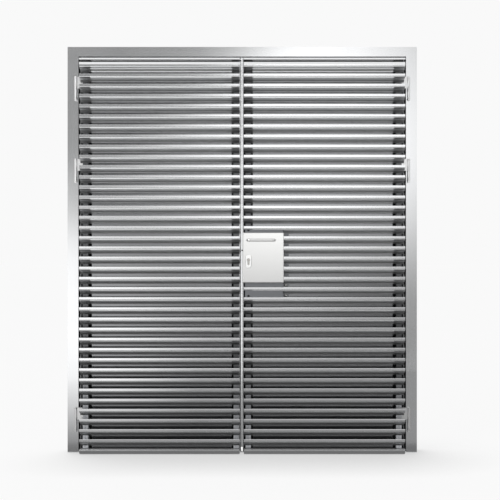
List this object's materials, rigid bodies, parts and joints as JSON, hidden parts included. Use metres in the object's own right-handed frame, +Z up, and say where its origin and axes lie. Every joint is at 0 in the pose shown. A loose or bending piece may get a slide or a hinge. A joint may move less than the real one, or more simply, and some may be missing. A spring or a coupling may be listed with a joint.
{
  "type": "double louvred entrance door",
  "caption": "Double-leaf metal entrance door: louvre blades on posts over flat panels, a mitred frame, a meeting strip, a lock plate with a pull bar, and leaves hinged to open outwards.",
  "frame": {"origin": "underside of the threshold, at the middle of the doorway's width and of the frame's depth, at floor level", "axes": "+X to the right seen from the front, +Y to the back, +Z up; the louvres face -Y"},
  "size_m": [1.736, 0.18, 2.016],
  "materials": {
    "frame_aluminium": "satin anodised, fine grain",
    "leaf_aluminium": "satin anodised",
    "louvre_aluminium": "satin anodised, bright",
    "panel_aluminium": "satin anodised sheet",
    "black_board": "black fleece-faced insulation board",
    "hinge_steel": "brushed",
    "brushed_stainless": "fine brushed",
    "polished_stainless": "polished",
    "lock_case_steel": "plain zinc-plated",
    "cylinder_nickel": "nickel plated"
  },
  "bodies": {
    "frame": {"frame_head": "frame_aluminium", "frame_hinges_left": "hinge_steel", "frame_hinges_right": "hinge_steel", "frame_jamb_left": "frame_aluminium", "frame_jamb_right": "frame_aluminium", "frame_stop_centre": "frame_aluminium", "frame_stop_head": "frame_aluminium", "frame_stop_left": "frame_aluminium", "frame_stop_right": "frame_aluminium", "frame_threshold": "frame_aluminium"},
    "left_leaf": {"left_board": "black_board", "left_bottom_rail": "louvre_aluminium", "left_leaf_hinges": "hinge_steel", "left_panel": "panel_aluminium", "left_post_inner": "leaf_aluminium", "left_post_outer": "leaf_aluminium", "left_slats": "louvre_aluminium", "left_top_rail": "louvre_aluminium", "left_tray": "leaf_aluminium"},
    "right_leaf": {"escutcheon": "brushed_stainless", "foot_bolt": "polished_stainless", "lock_bracket": "lock_case_steel", "lock_case": "lock_case_steel", "lock_cylinder": "cylinder_nickel", "lock_plate": "brushed_stainless", "meeting_strip": "louvre_aluminium", "pull_handle": "brushed_stainless", "right_board": "black_board", "right_bottom_rail": "louvre_aluminium", "right_leaf_hinges": "hinge_steel", "right_panel": "panel_aluminium", "right_post_inner": "leaf_aluminium", "right_post_outer": "leaf_aluminium", "right_slats": "louvre_aluminium", "right_top_rail": "louvre_aluminium", "right_tray": "leaf_aluminium"}
  },
  "joints": [
    {"name": "left_leaf_hinge", "type": "hinge", "parent": "frame", "child": "left_leaf", "pos_m": [-0.826, -0.049, 0], "axis": [0, 0, -1], "range_deg": [0, 110]},
    {"name": "right_leaf_hinge", "type": "hinge", "parent": "frame", "child": "right_leaf", "pos_m": [0.826, -0.049, 0], "axis": [0, 0, 1], "range_deg": [0, 110]}
  ]
}
